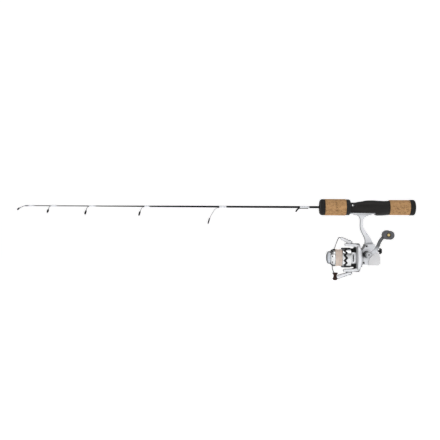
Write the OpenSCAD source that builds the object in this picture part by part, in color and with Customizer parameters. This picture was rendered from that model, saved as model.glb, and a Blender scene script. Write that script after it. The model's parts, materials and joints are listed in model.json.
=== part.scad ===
// Ice fishing rod with a small spinning reel.
// Origin: centre of the butt cap's end. The tip points to -X, the reel hangs to -Z, the crank is at -Y.

/* [Blank] */
// Distance from the butt's end to the tip of the blank
blank_length = 643.5; // [640:0.5:646]
// Blank radius inside the handle
blank_core_r = 1.5; // [1.4:0.05:1.6]
// Blank radius at the tip
blank_tip_r = 0.5; // [0.45:0.05:0.6]

/* [Handle] */
// Radius of the front cork grip
front_cork_r = 13.6; // [13.3:0.1:14.5]
// Radius of the rear cork grip
rear_cork_r = 12.5; // [12:0.1:13]
// Radius of the butt cap
butt_r = 13; // [12.8:0.1:14]
// Radius of the locking hood
hood_r = 13.2; // [13.1:0.1:14]

/* [Reel] */
// Place of the reel along the handle, as a shift of its own frame
reel_shift = 3.5; // [3.4:0.1:3.6]
// Depth of the spool's axis below the rod's axis
spool_drop = 83; // [83:1:83]
// Radius of the rotor's rim
rotor_r = 23.7; // [23.5:0.1:23.9]
// Radius of the spool's skirt
skirt_r = 16.4; // [16.2:0.1:16.6]
// Radius of the drag knob
drag_knob_r = 10.6; // [10:0.1:11]
// Distance from the crank's axis to the knob's axis
crank_reach = 42; // [41:0.5:42]

/* [Gears] */
// Teeth on the face of the drive gear
face_teeth = 36; // [36]
// Teeth on the pinion
pinion_teeth = 7; // [7]
// Teeth on the drive shaft's small spur
spur_teeth = 10; // [10]
// Teeth on the oscillation gear
oscillation_teeth = 20; // [20]

/* [Hidden] */
$fn = 64;

// Running clearance between a turning piece and its bearing surface
run = 0.06;
// Smallest step that makes a cut pass through a face
cut = 1;

// Stations along the handle, from the tip side to the butt
cap_front_x = -157.1;
cap_back_x = -148.6;
cork_back_x = -114.1;
hood_front_x = -114;
hood_back_x = -106.7;
seat_front_x = -106.6;
seat_back_x = -42.2;
rear_cork_back_x = -8.9;
blank_root_x = -43;
barrel_front_x = -142.5;
barrel_r = 8.05;
thread_pitch = 2;
thread_depth = 0.45;
foot_top = -8.9;
foot_thick = 2.2;
foot_x = [-114.5, -64.5];
foot_w = 11;

// Stations on the reel, in the reel's own frame
axis_z = -spool_drop;
drive_x = -85;
drive_z = axis_z + 6;
bail_pivot_x = -111;
case_near_y = -8.8;
case_far_y = 11;
cover_near_y = -11;
gear_module = 0.75;
gear_distance = gear_module * (spur_teeth + oscillation_teeth) / 2;
oscillation_x = drive_x + sqrt(pow(gear_distance, 2) - pow(drive_z - axis_z, 2));
stroke_r = 4.5;
slider_x = oscillation_x - stroke_r + 3;
shaft_r = 2;
arm_pad_r = 24;
crank_angle = 50.9;
knob_near_y = -54.8;
knob_far_y = -41.3;

// One row for each guide: foot's two ends, ring centre x, ring drop, ring outer radius, tilt
GUIDES = [
    [-323.6, -312.4, -339.7, 23.4, 5.0, 15],
    [-447.6, -439.6, -454.3, 11.8, 4.0, 15],
    [-538.6, -528.4, -543.5, 10.6, 3.6, 15],
    [-601.8, -593.0, -605.7, 8.6, 3.1, 15]
];
// The same for the tip ring, and the hook keeper's foot
TIP = [-642.4, -629.7, -654.5, 5.3, 2.5, 40];
KEEPER = [-190.8, -176];

// Blank radius at a distance x, as stations from the tip to the handle
BLANK = [[-blank_length, blank_tip_r], [-519.5, 0.62], [-387.5, 1.03], [cap_front_x, 1.35]];
function blank_r(x) = lookup(x, BLANK);

// ---------- curves ----------
function arc(cx, cy, r, a0, a1, n = 10) =
    [for (i = [0:n]) let (a = a0 + (a1 - a0) * i / n) [cx + r * cos(a), cy + r * sin(a)]];
function spline(p0, p1, p2, p3, t) =
    0.5 * (2 * p1 + (p2 - p0) * t + (2 * p0 - 5 * p1 + 4 * p2 - p3) * t * t
    + (3 * p1 - p0 - 3 * p2 + p3) * t * t * t);
function smooth(p, n = 4) = [
    for (i = [0:len(p) - 2], k = [0:n - 1])
        spline(p[max(i - 1, 0)], p[i], p[i + 1], p[min(i + 2, len(p) - 1)], k / n),
    p[len(p) - 1]
];
function unit(v) = v / norm(v);
function tangent(p, i) = unit(p[min(i + 1, len(p) - 1)] - p[max(i - 1, 0)]);

// ---------- building blocks ----------
// Solid of revolution about the X axis, from [radius, x] points
module turned(points) rotate([0, 90, 0]) rotate_extrude($fn = 96) polygon(points);
module on_spool_axis() translate([0, 0, axis_z]) children();
module rod_x(r, x0, x1) translate([x0, 0, 0]) rotate([0, 90, 0]) cylinder(r = r, h = x1 - x0);
module rod_y(r, y0, y1) translate([0, y1, 0]) rotate([90, 0, 0]) cylinder(r = r, h = y1 - y0);
module rod_z(r, z0, z1) translate([0, 0, z0]) cylinder(r = r, h = z1 - z0);
module block(x, y, z) translate([x[0], y[0], z[0]]) cube([x[1] - x[0], y[1] - y[0], z[1] - z[0]]);
// Outline in X and Z, extruded from y0 to y1
module plate_y(y0, y1) translate([0, y1, 0]) rotate([90, 0, 0]) linear_extrude(y1 - y0) children();
module at_drive() translate([drive_x, 0, drive_z]) children();
module at_reel() translate([reel_shift, 0, 0]) children();

// Round wire along a path; ref is any direction that the path never follows
module wire(path, r, ref = [0, 1, 0], sides = 8) {
    points = [
        for (i = [0:len(path) - 1])
            let (t = tangent(path, i), n = unit(cross(t, ref)), b = cross(t, n))
            for (k = [0:sides - 1]) path[i] + r * (cos(360 * k / sides) * n + sin(360 * k / sides) * b)
    ];
    last = sides * (len(path) - 1);
    polyhedron(points = points, faces = concat(
        [[for (k = [0:sides - 1]) k]],
        [[for (k = [0:sides - 1]) last + sides - 1 - k]],
        [for (i = [0:len(path) - 2], k = [0:sides - 1])
            let (a = sides * i + k, b = sides * i + (k + 1) % sides)
            [a, a + sides, b + sides, b]]
    ));
}

// Spur outline with straight-sided teeth and generous backlash; the first tooth is at angle 0
module gear_outline(teeth, root_r, tip_r) {
    pitch = 360 / teeth;
    polygon([
        for (i = [0:teeth - 1])
            for (c = [[root_r, -0.26], [tip_r, -0.12], [tip_r, 0.12], [root_r, 0.26]])
                c[0] * [cos(pitch * (i + c[1])), sin(pitch * (i + c[1]))]
    ]);
}

// ---------- rod ----------
module blank() color([0.05, 0.05, 0.055]) turned([
    [0, blank_root_x], [blank_core_r, blank_root_x], [blank_core_r, cap_front_x + cut],
    for (i = [len(BLANK) - 1:-1:0]) [BLANK[i][1], BLANK[i][0]],
    [0, -blank_length]
]);

// Flat foot of a guide, lying under the blank
foot_h = 0.5;
module foot(x0, x1, w = 1.5) difference() {
    intersection() {
        rod_x(blank_r(x1) + foot_h, x0, x1);
        block([x0, x1], [-w / 2, w / 2], [-5, 0]);
    }
    blank();
}

module thread_wrap(x0, x1, with_foot = true) {
    r = blank_r(x1) + foot_h + 0.3;
    lead = 0.8;
    difference() {
        turned([[0, x0], [r - 0.35, x0], [r, x0 + lead], [r, x1 - lead], [r - 0.35, x1], [0, x1]]);
        blank();
        if (with_foot) foot(x0 - cut, x1 + cut);
    }
}

module ring_place(g) translate([g[2], 0, -g[3]]) rotate([0, g[5], 0]) children();
ring_wall = 0.9;
frame_wall = 0.45;
module guide_ring(g) color([0.08, 0.08, 0.09]) ring_place(g) turned(let (r = g[4] - frame_wall, b = 0.25)
    [[r, -0.7], [r - ring_wall + b, -0.7], [r - ring_wall, -0.7 + b], [r - ring_wall, 0.7 - b],
    [r - ring_wall + b, 0.7], [r, 0.7]]);

module guide_frame(g) color([0.35, 0.35, 0.37]) {
    foot(g[0], g[1]);
    ring_place(g) turned([[g[4] - frame_wall, -0.45], [g[4], -0.45],
        [g[4], 0.45], [g[4] - frame_wall, 0.45]]);
    leg_r = 0.06 * g[4] + 0.12;
    start = [g[0] + 1, 0.35, -blank_r(g[1]) - leg_r - 0.16];
    finish = [g[2] + 0.4, g[4] * 0.86, -g[3] + g[4] * 0.5];
    knee = [g[0] - 0.45 * (g[0] - g[2]), finish[1] * 0.45, start[2] - 0.22 * (g[3] - g[4])];
    for (side = [-1, 1])
        mirror([0, side < 0 ? 1 : 0, 0])
            wire(smooth([start, start + [-1.6, 0.1, -0.1], knee, finish], 5), leg_r, [0, 1, 0.2]);
}

module guide_wrap(g) color([0.75, 0.76, 0.78]) thread_wrap(g[0] + 1.2, g[1] + 1.6);

// Tube over the tip of the blank, with two wires that carry the tip ring
module tip_frame() color([0.4, 0.4, 0.42]) {
    difference() {
        turned([[0, TIP[0] - 1.2], [0.7, TIP[0] - 1.2], [1.0, TIP[0] - 0.4], [1.0, TIP[1]], [0, TIP[1]]]);
        blank();
    }
    ring_place(TIP) turned([[TIP[4] - frame_wall, -0.4], [TIP[4], -0.4],
        [TIP[4], 0.4], [TIP[4] - frame_wall, 0.4]]);
    for (side = [-1, 1])
        wire(smooth([
            [TIP[0] + 1, side * 0.88, -0.1], [TIP[0] - 3, side * 1.1, -0.6],
            [TIP[0] - 8, side * 2.0, -2.9], [TIP[2] + 0.6, side * 2.28, -TIP[3] + 0.7]
        ], 4), 0.3, [0, 1, 0.3]);
}
module tip_ring() guide_ring(TIP);
module tip_wrap() color([0.75, 0.76, 0.78]) difference() {
    turned([[0, TIP[1] - 8], [1.3, TIP[1] - 8], [1.3, TIP[1] + 0.6], [0.95, TIP[1] + 1.8], [0, TIP[1] + 1.8]]);
    blank();
    rod_x(1.0, TIP[0], TIP[1]);
}

module hook_keeper() color([0.1, 0.1, 0.11]) {
    foot(KEEPER[0], KEEPER[1]);
    half = [
        [KEEPER[0] + 1.1, 0.5, -blank_r(KEEPER[1]) - 0.42], [KEEPER[0], 0.7, -blank_r(KEEPER[1]) - 0.5],
        [KEEPER[0] - 2.6, 1.7, -3.9], [KEEPER[0] - 4.6, 1.3, -6.4], [KEEPER[0] - 5.0, 0, -7.1]
    ];
    far = [for (i = [len(half) - 2:-1:0]) [half[i][0], -half[i][1], half[i][2]]];
    wire(smooth(concat(half, far), 4), 0.35, [-1, 0, 1]);
}
module keeper_wrap() color([0.08, 0.08, 0.09]) thread_wrap(KEEPER[0] + 1.2, KEEPER[1] + 2);

// ---------- handle ----------
cap_round = 4.5;
module front_cap() color([0.17, 0.16, 0.15]) turned(concat(
    [[2.4, cap_back_x], [2.4, cap_front_x]],
    arc(front_cork_r - cap_round - 0.2, cap_front_x + cap_round, cap_round, -90, 0),
    [[front_cork_r - 0.2, cap_back_x]]
));

nut_r = 10.5;
module front_cork() color([0.73, 0.57, 0.4]) difference() {
    turned([[0, cap_back_x], [front_cork_r - 0.3, cap_back_x], [front_cork_r, cap_back_x + 0.4],
        [front_cork_r, cork_back_x - 0.4], [front_cork_r - 0.3, cork_back_x], [0, cork_back_x]]);
    rod_x(nut_r, cap_back_x - cut, cork_back_x + cut);
}

module threaded_nut() color([0.25, 0.25, 0.26]) difference() {
    rod_x(nut_r, cap_back_x, cork_back_x);
    rod_x(barrel_r + 0.1, barrel_front_x - 3, cork_back_x + cut);
    rod_x(2.4, cap_back_x - cut, cork_back_x);
}

module foot_pocket(x0, x1) block([x0, x1], [-foot_w / 2 - 0.3, foot_w / 2 + 0.3],
    [foot_top - foot_thick - 0.2, foot_top + 0.15]);

module locking_hood() color([0.19, 0.21, 0.22]) difference() {
    turned([[barrel_r + 0.1, hood_front_x], [hood_r - 0.6, hood_front_x], [hood_r, hood_front_x + 0.6],
        [hood_r, hood_back_x - 2.4], [hood_r - 0.6, hood_back_x - 1.2], [hood_r - 1.9, hood_back_x],
        [barrel_r + 0.1, hood_back_x]]);
    foot_pocket(foot_x[0] + reel_shift - 0.6, hood_back_x + cut);
}

// Contoured seat: waist at the hood, swell in the palm, fixed rear hood underneath
hook_slot_x = [-103.2, -101.5];
hook_slot_z = 3.3;
hook_slot_r = 1.4;
module reel_seat() color([0.2, 0.185, 0.17]) difference() {
    union() {
        intersection() {
            turned(concat(
                [[0, seat_front_x]],
                smooth([[8.1, seat_front_x], [8.1, -98.5], [9.3, -93.3], [10.1, -86.7], [11.3, -82],
                    [11.8, -74.5], [11.7, -66.5], [11.2, -58.5], [10.9, -50.5], [11.3, -45.5],
                    [11.6, seat_back_x]], 4),
                [[0, seat_back_x]]
            ));
            block([seat_front_x, seat_back_x], [-20, 20], [foot_top, 20]);
        }
        block([seat_front_x, -66.5], [-6.5, 6.5], [foot_top, 0]);
        translate([0, 0, -2.2]) turned(concat(
            [[0, -70]],
            smooth([[6.5, -70], [8.6, -68], [10.4, -65.5], [11.3, -62.5], [11.3, -57], [10.9, -49],
                [10.2, seat_back_x]], 4),
            [[0, seat_back_x]]
        ));
        turned(concat(
            [[0, barrel_front_x], [barrel_r - thread_depth, barrel_front_x]],
            [for (x = [barrel_front_x + 1:thread_pitch:seat_front_x - 2], s = [0, 0.5, 1, 1.5])
                [barrel_r - (s == 0.5 || s == 1 ? 0 : thread_depth), x + s]],
            [[barrel_r - thread_depth, seat_front_x], [0, seat_front_x]]
        ));
        rod_x(6, seat_back_x - cut, rear_cork_back_x - 4);
    }
    rod_x(blank_core_r, barrel_front_x - cut, blank_root_x);
    foot_pocket(-78, foot_x[1] + reel_shift + 0.4);
    for (x = hook_slot_x) translate([x, 0, hook_slot_z]) rod_y(hook_slot_r, -15, 15);
    block(hook_slot_x, [-15, 15], [hook_slot_z - hook_slot_r, hook_slot_z + hook_slot_r]);
}

module rear_cork() color([0.73, 0.57, 0.4]) difference() {
    turned([[0, seat_back_x], [rear_cork_r - 0.3, seat_back_x], [rear_cork_r, seat_back_x + 0.4],
        [rear_cork_r, rear_cork_back_x - 0.4], [rear_cork_r - 0.3, rear_cork_back_x], [0, rear_cork_back_x]]);
    rod_x(6, seat_back_x - cut, rear_cork_back_x + cut);
}

butt_round = 3.2;
module butt_cap() color([0.17, 0.16, 0.15]) turned(concat(
    [[0, rear_cork_back_x - 4], [6, rear_cork_back_x - 4], [6, rear_cork_back_x], [butt_r, rear_cork_back_x]],
    arc(butt_r - butt_round, -butt_round, butt_round, 0, 90),
    [[0, 0]]
));

// ---------- reel frame ----------
module case_outline() polygon(concat(
    smooth([[-86, -61], [-87.2, -65], [-91.4, -70.5]], 4),
    [[-92, -72], [-92, -94.4]],
    arc(-66.2, -90.8, 3.6, 270, 360),
    smooth([[-62.6, -86], [-62.8, -81], [-64.4, -77], [-66.6, -71.5], [-68.6, -65], [-71.8, -60]], 4)
));
module case_cavity() polygon(concat(
    [[-85, -69.5], [-90.4, -73.5], [-90.4, -92.6]],
    arc(-66.4, -90.2, 2.4, 270, 360, 6),
    [[-64, -82.5], [-68.8, -70.5], [-72, -68.5]]
));

// Foot, swept stem, gear case and the round neck that enters the rotor
stem_front = [[-108, foot_top - 1], [-103, -12.3], [-97, -14], [-94, -17.8], [-93.3, -24], [-93.7, -30],
    [-92.9, -36], [-90.4, -42.2], [-86.9, -49], [-85.3, -55], [-85.6, -61.2]];
stem_back = [[-71.8, -60], [-74.6, -54], [-79.5, -46], [-84.5, -39.4], [-87.9, -33.2], [-89.2, -26],
    [-88.3, -20], [-85.5, -16.4], [-80.6, -13.8], [-75, -12], [-70.5, foot_top - 1]];
stem_half_w = 3.7;
case_wall = 2.2;
neck_r = 16;
neck_front_x = -99.5;
boss_back_x = -93.7;
clutch_r = 5.3;
switch_z = -72;
post_y = [case_near_y, -4.2];
module reel_body() color([0.84, 0.85, 0.87]) at_reel() difference() {
    union() {
        plate_y(-stem_half_w, stem_half_w) polygon(concat(smooth(stem_front, 4), smooth(stem_back, 4)));
        block([foot_x[0] + foot_w / 2, foot_x[1] - foot_w / 2], [-foot_w / 2, foot_w / 2],
            [foot_top - foot_thick, foot_top]);
        for (x = [foot_x[0] + foot_w / 2, foot_x[1] - foot_w / 2])
            translate([x, 0, 0]) rod_z(foot_w / 2, foot_top - foot_thick, foot_top);
        plate_y(case_near_y, case_far_y) case_outline();
        on_spool_axis() rod_x(neck_r, neck_front_x, -91);
    }
    difference() {
        plate_y(case_near_y - cut, case_far_y - case_wall) case_cavity();
        for (p = SCREWS) translate([p[0], 0, p[1]]) rod_y(2.2, post_y[0], post_y[1]);
    }
    at_drive() rod_y(face_outer_r + 0.2, 3.4, case_far_y - case_wall);
    on_spool_axis() {
        difference() {
            union() {
                rod_x(neck_r - 1.5, neck_front_x + 1.3, -92.8);
                intersection() {
                    rod_x(neck_r - 1.5, -93, -90.3);
                    block([-93, -90.3], [case_near_y, -case_near_y], [-neck_r, neck_r]);
                }
            }
            rod_x(8, neck_front_x, boss_back_x);
        }
        rod_x(clutch_r, neck_front_x + 0.6, -96.6);
        rod_x(5.5, -96.6, boss_back_x + cut);
        rod_x(4.2, neck_front_x - cut, -95);
    }
    at_drive() rod_y(4, case_far_y - case_wall - cut, case_far_y + cut);
    translate([0, 0, switch_z]) rod_x(1.5 + run, -72, -60);
    for (p = SCREWS) translate([p[0], 0, p[1]]) rod_y(1, case_near_y - cut, case_near_y + 4.3);
    plate_y(cover_near_y - 10, case_near_y) case_outline();
}

SCREWS = [[-84.1, -63.6], [-89.2, -91], [-66.8, -90.8]];
module side_cover() color([0.86, 0.87, 0.89]) at_reel() difference() {
    union() {
        plate_y(cover_near_y, case_near_y) case_outline();
        translate([oscillation_x, 0, axis_z]) rod_y(1.5, case_near_y - cut, -5.3);
        at_drive() rod_y(6.2, cover_near_y - 0.5, case_near_y);
    }
    at_drive() rod_y(4, cover_near_y - 2, case_near_y + cut);
    for (p = SCREWS) translate([p[0], 0, p[1]]) {
        rod_y(1, cover_near_y - cut, case_near_y + cut);
        rod_y(1.9, cover_near_y - cut, cover_near_y + 1);
    }
}

// Band round the rear of the case, with a slanted front edge on both sides
module rear_cover() color([0.8, 0.81, 0.82]) at_reel() difference() {
    plate_y(-11.6, 11.6) polygon(concat(
        [[-70.5, -74.3], [-79, -82.5]],
        smooth([[-80.6, -86], [-81.5, -90], [-81.3, -95]], 4),
        arc(-66.2, -90.8, 4.2, 270, 360),
        smooth([[-62, -86], [-62.2, -81], [-63.8, -77]], 4)
    ));
    plate_y(cover_near_y, case_far_y) case_outline();
}

module cover_screws() color([0.3, 0.3, 0.32]) at_reel() for (p = SCREWS)
    translate([p[0], 0, p[1]]) difference() {
        union() {
            rod_y(1.9, cover_near_y + 0.1, cover_near_y + 1);
            rod_y(1, cover_near_y + 0.9, case_near_y + 4);
        }
        block([-0.25, 0.25], [cover_near_y - cut, cover_near_y + 0.5], [-1.2, 1.2]);
        block([-1.2, 1.2], [cover_near_y - cut, cover_near_y + 0.5], [-0.25, 0.25]);
    }

module dust_cap() color([0.12, 0.12, 0.13]) at_reel() at_drive() difference() {
    rod_y(5.6, case_far_y, case_far_y + 3);
    rod_y(4, case_far_y - cut, case_far_y + 1.2);
}

module anti_reverse_switch() color([0.06, 0.06, 0.065]) at_reel() {
    translate([0, 0, switch_z]) {
        rod_x(1.5, -72.3, -60.5);
        rod_x(2.6, -72.3, -70.6);
        intersection() {
            block([-61.3, -57.4], [-2.4, 2.4], [-5, 5]);
            translate([-61.5, 0, 0]) rod_y(5, -3, 3);
        }
        block([-61.3, -59.4], [-2.4, 2.4], [-5, 5]);
    }
}

module drive_bushings() color([0.72, 0.58, 0.3]) at_reel() at_drive()
    for (y = [[-11, -8.8], [8.8, 11]]) difference() {
        rod_y(4, y[0], y[1]);
        rod_y(shaft_r + run, y[0] - cut, y[1] + cut);
    }

module pinion_bearing() color([0.7, 0.71, 0.73]) at_reel() on_spool_axis() difference() {
    rod_x(5.5, -96.5, boss_back_x);
    rod_x(3 + run, -97, boss_back_x + cut);
}

module anti_reverse_clutch() color([0.5, 0.51, 0.54]) at_reel() on_spool_axis() difference() {
    rod_x(clutch_r, neck_front_x + 0.6, -96.7);
    rod_x(3 + run, neck_front_x, -96);
}

module pinion_bushing() color([0.72, 0.58, 0.3]) at_reel() on_spool_axis() difference() {
    union() {
        rod_x(3.4, -86.6, -84.6);
        block([-86.6, -84.6], [-1.6, 1.6], [-9.55, -3]);
    }
    rod_x(2.6 + run, -87.6, -83.6);
    translate([0, 0, guide_rod_z - axis_z]) rod_x(guide_rod_r, -87.6, -83.6);
}

guide_rod_z = axis_z - 7.6;
guide_rod_r = 0.8;
module guide_rod() color([0.7, 0.71, 0.73]) at_reel() translate([0, 0, guide_rod_z])
    rod_x(guide_rod_r, -90.4, -64.4);

// ---------- crank train ----------
face_inner_r = 6.4;
face_outer_r = 7.9;
module drive_gear() color([0.75, 0.7, 0.6]) at_reel() at_drive() {
    rod_y(shaft_r, -29.1, 10.9);
    rod_y(face_outer_r, 4.4, 6.4);
    for (i = [0:face_teeth - 1])
        rotate([0, 360 / face_teeth * i, 0])
            block([face_inner_r, face_outer_r - 0.05], [3.75, 4.5], [-0.25, 0.25]);
    spur_angle = atan2(axis_z - drive_z, oscillation_x - drive_x);
    plate_y(-7.4, -5.4) rotate(spur_angle)
        gear_outline(spur_teeth, gear_module * (spur_teeth / 2 - 1), gear_module * (spur_teeth / 2 + 0.8));
}

module crank_hub() color([0.85, 0.86, 0.88]) at_reel() at_drive() difference() {
    translate([0, cover_near_y - 0.7, 0]) rotate([90, 0, 0]) cylinder(r1 = 5.6, r2 = 4.2, h = 14.8);
    rod_y(shaft_r, -40, 0);
}

// Arm that leans outwards from the hub to the knob, with a gentle S in side view
module crank_arm() color([0.62, 0.63, 0.65]) at_reel() at_drive() rotate([0, -crank_angle, 0]) difference() {
    union() {
        intersection() {
            plate_z(-7, 7) polygon([
                [-5, -26.5], [6, -26.5], [crank_reach - 6, -38.4], [crank_reach + 5, -38.4],
                [crank_reach + 5, -41], [crank_reach - 7, -41], [5, -29.1], [-5, -29.1]
            ]);
            plate_y(-45, -20) polygon(concat(
                [for (i = [0:16]) arm_edge(i / 16, 1)],
                [for (i = [16:-1:0]) arm_edge(i / 16, -1)]
            ));
        }
        rod_y(4.6, -29.1, -26.5);
        translate([crank_reach, 0, 0]) rod_y(3.8, -41, -38.4);
    }
    rod_y(shaft_r, -45, 0);
    translate([crank_reach, 0, 0]) rod_y(1.5, -45, 0);
}
module plate_z(z0, z1) translate([0, 0, z0]) linear_extrude(z1 - z0) children();
function arm_edge(t, side) =
    [t * crank_reach, -2.8 * sin(360 * t) - 1.3 * sin(180 * t) + side * (3.2 - 0.8 * t)];

module crank_screw() color([0.6, 0.61, 0.63]) at_reel() at_drive() difference() {
    rod_y(3.6, -31, -29.1);
    rod_y(1.5, -32, -30);
}

module at_knob() at_drive() rotate([0, -crank_angle, 0]) translate([crank_reach, 0, 0])
    rotate([0, crank_angle, 0]) children();

knob_floor_y = knob_near_y + 1.9;
module knob_axle() color([0.78, 0.66, 0.35]) at_reel() at_knob() {
    rod_y(1.5, knob_near_y + 1, -37.4);
    rod_y(2.6, -38.4, -37.4);
    rod_y(2.2, knob_near_y + 0.6, knob_floor_y - 0.1);
}

// Paddle of two overlapping rounds with a small waist
module knob_outline(grow) {
    translate([-2, 0.2]) circle(7.4 + grow);
    translate([2.6, -0.4]) circle(7 + grow);
}
module crank_knob() color([0.27, 0.27, 0.29]) at_reel() at_knob() difference() {
    union() {
        plate_y(knob_near_y + 1.2, knob_far_y - 2.2) knob_outline(0);
        plate_y(knob_near_y, knob_near_y + 1.2) knob_outline(-0.7);
        rod_y(4.2, knob_far_y - 2.2, knob_far_y);
    }
    rod_y(1.5 + run, -70, -30);
    rod_y(3.4, knob_near_y - cut, knob_floor_y);
}

// ---------- rotor train ----------
module pinion() color([0.76, 0.63, 0.35]) at_reel() on_spool_axis() difference() {
    union() {
        rod_x(3, -107, -91.5);
        translate([-91.5, 0, 0]) rotate([90, 0, 90]) linear_extrude(4)
            gear_outline(pinion_teeth, 2.75, 3.6);
        rod_x(2.6, -87.6, -84.2);
    }
    rod_x(shaft_r + run, -110, -80);
}

rotor_back_x = -95;
module rotor_arm(front_x, side) intersection() {
    turned([[19.6, front_x - 1], [rotor_r - 0.3, front_x - 1], [rotor_r, -104], [rotor_r, rotor_back_x],
        [20.8, rotor_back_x], [20.8, -97.6], [19.6, -99]]);
    translate([0, 0, side > 0 ? 0 : -40]) linear_extrude(40) polygon(concat(
        [[rotor_back_x, -15], [rotor_back_x, 15]],
        smooth([[-98, 12.5], [-103, 8.5], [-110, 6.6], [front_x + 3, 5.6], [front_x, 2.5]], 3),
        smooth([[front_x, -2.5], [front_x + 3, -5.6], [-110, -6.6], [-103, -8.5], [-98, -12.5]], 3)
    ));
}
spring_r = 3.4;
module rotor() color([0.86, 0.87, 0.89]) at_reel() on_spool_axis() difference() {
    union() {
        turned([[20.8, rotor_back_x], [rotor_r - 0.5, rotor_back_x], [rotor_r, rotor_back_x - 0.6],
            [rotor_r, -97.4], [22.6, -99.6], [17.6, -101.8], [15, -102.4], [15, -110], [13.6, -110],
            [13.6, -104], [3, -104], [3, -100], [17, -100], [20.8, -97.6]]);
        rotor_arm(-118.6, 1);
        rotor_arm(-121, -1);
        for (s = [0, 180]) rotate([s, 0, 0]) translate([bail_pivot_x, 0, 0]) rod_z(5, 20.4, arm_pad_r);
    }
    for (s = [0, 180]) rotate([s, 0, 0]) translate([bail_pivot_x, 0, 0]) rod_z(1.5, 18, 25);
    translate([bail_pivot_x, 0, 0]) rod_z(spring_r + 0.8, -arm_pad_r - cut, -arm_pad_r + 2.2);
    for (a = [90, 270]) rotate([a, 0, 0]) block([-107.4, -105.9], [-6, 6], [12, 16]);
}

module rotor_nut() color([0.66, 0.67, 0.7]) at_reel() on_spool_axis() difference() {
    translate([-107, 0, 0]) rotate([0, 90, 0]) cylinder(r = 5.4, h = 3, $fn = 6);
    rod_x(3, -108, -103);
}

// Torsion spring: close-wound turns round the lower bail pivot
module bail_spring() color([0.6, 0.61, 0.63]) at_reel() on_spool_axis()
    translate([bail_pivot_x, 0, -arm_pad_r + 0.5]) rotate_extrude()
        for (i = [0:2]) translate([spring_r, i * 0.55]) circle(0.32, $fn = 16);

// ---------- oscillation ----------
module oscillation_gear() color([0.75, 0.7, 0.6]) at_reel() translate([oscillation_x, 0, axis_z]) difference() {
    union() {
        line_angle = atan2(drive_z - axis_z, drive_x - oscillation_x);
        plate_y(-7.4, -5.4) rotate(line_angle + 180 / oscillation_teeth)
            gear_outline(oscillation_teeth, gear_module * (oscillation_teeth / 2 - 1),
                gear_module * (oscillation_teeth / 2 + 0.8));
        rotate([0, -acos((slider_x - oscillation_x) / stroke_r), 0])
            translate([stroke_r, 0, 0]) rod_y(1.2, -5.5, -3.2);
    }
    rod_y(1.5 + run, -9, -5.2);
}

shaft_front_x = -147.6;
collar_x = -114.5;
module main_shaft() color([0.78, 0.79, 0.81]) at_reel() on_spool_axis() {
    rod_x(shaft_r, shaft_front_x, slider_x + 2.5);
    rod_x(3.2, collar_x, collar_x + 1);
}

module oscillation_slider() color([0.72, 0.58, 0.3]) at_reel() difference() {
    block([slider_x - 2.5, slider_x + 2.5], [-3, 3], [guide_rod_z - 1.7, axis_z + 4]);
    on_spool_axis() rod_x(shaft_r, -100, -60);
    translate([0, 0, guide_rod_z]) rod_x(guide_rod_r + run, -100, -60);
    block([slider_x - 1.3, slider_x + 1.3], [-4, -2.4], [axis_z - 5.8, axis_z + 3]);
}

// ---------- spool ----------
spool_front_x = -142.4;
line_front_x = -135.2;
line_back_x = -124.2;
spool_hub_r = 9;
module spool() color([0.82, 0.83, 0.84]) at_reel() on_spool_axis() difference() {
    turned([[shaft_r + run, spool_front_x + 4.4], [8, spool_front_x + 4.4], [8, spool_front_x],
        [drag_knob_r + 0.4, spool_front_x], [13.8, -138.4], [14.6, -136.8], [14.6, -135.9], [14, line_front_x],
        [spool_hub_r, line_front_x], [spool_hub_r, line_back_x], [15.6, line_back_x],
        [skirt_r, line_back_x + 1], [skirt_r, -110.4], [skirt_r - 0.2, -109.8], [15.7, -109.8],
        [15.7, -122], [5, -122], [5, collar_x - 0.1], [shaft_r + run, collar_x - 0.1]]);
    for (i = [0:7]) rotate([22.5 + 45 * i, 0, 0]) translate([-138.6, 0, 11.3]) rotate([0, -30, 0])
        rod_x(0.9, -6, 1.2);
}

module wound_line() color([0.85, 0.74, 0.66]) at_reel() on_spool_axis() turned([
    [spool_hub_r, line_front_x], [13.9, line_front_x], [14.4, line_front_x + 1],
    [14.0, (line_front_x + line_back_x) / 2], [14.6, line_back_x - 1], [14.4, line_back_x],
    [spool_hub_r, line_back_x]
]);

module drag_washers() color([0.3, 0.3, 0.31]) at_reel() on_spool_axis() for (i = [0:2]) difference() {
    rod_x(7.6, spool_front_x + 4.3 - 1.25 * i - 1.1, spool_front_x + 4.3 - 1.25 * i);
    rod_x(shaft_r + run, -150, -130);
}

module drag_knob() color([0.72, 0.74, 0.77]) at_reel() on_spool_axis() difference() {
    turned(concat(
        [[0, spool_front_x - 0.2], [drag_knob_r - 0.3, spool_front_x - 0.2], [drag_knob_r, spool_front_x - 0.6],
            [drag_knob_r, spool_front_x - 1.8]],
        [for (a = [10:10:90]) [drag_knob_r * cos(a), spool_front_x - 1.8 - 5 * sin(a)]]
    ));
    rod_x(shaft_r + run, -148, -140);
}

// ---------- bail ----------
module bail_plate(z0, z1, r0, tip, r1) {
    translate([bail_pivot_x, 0, 0]) rod_z(r0, z0, z1);
    hull() {
        translate([bail_pivot_x, 0, 0]) cylinder_slice(r0 - 0.4, z0 + 0.3, z1 - 0.3);
        translate(tip) sphere(r1, $fn = 24);
    }
}
module cylinder_slice(r, z0, z1) translate([0, 0, z0]) cylinder(r = r, h = z1 - z0, $fn = 32);

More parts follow.
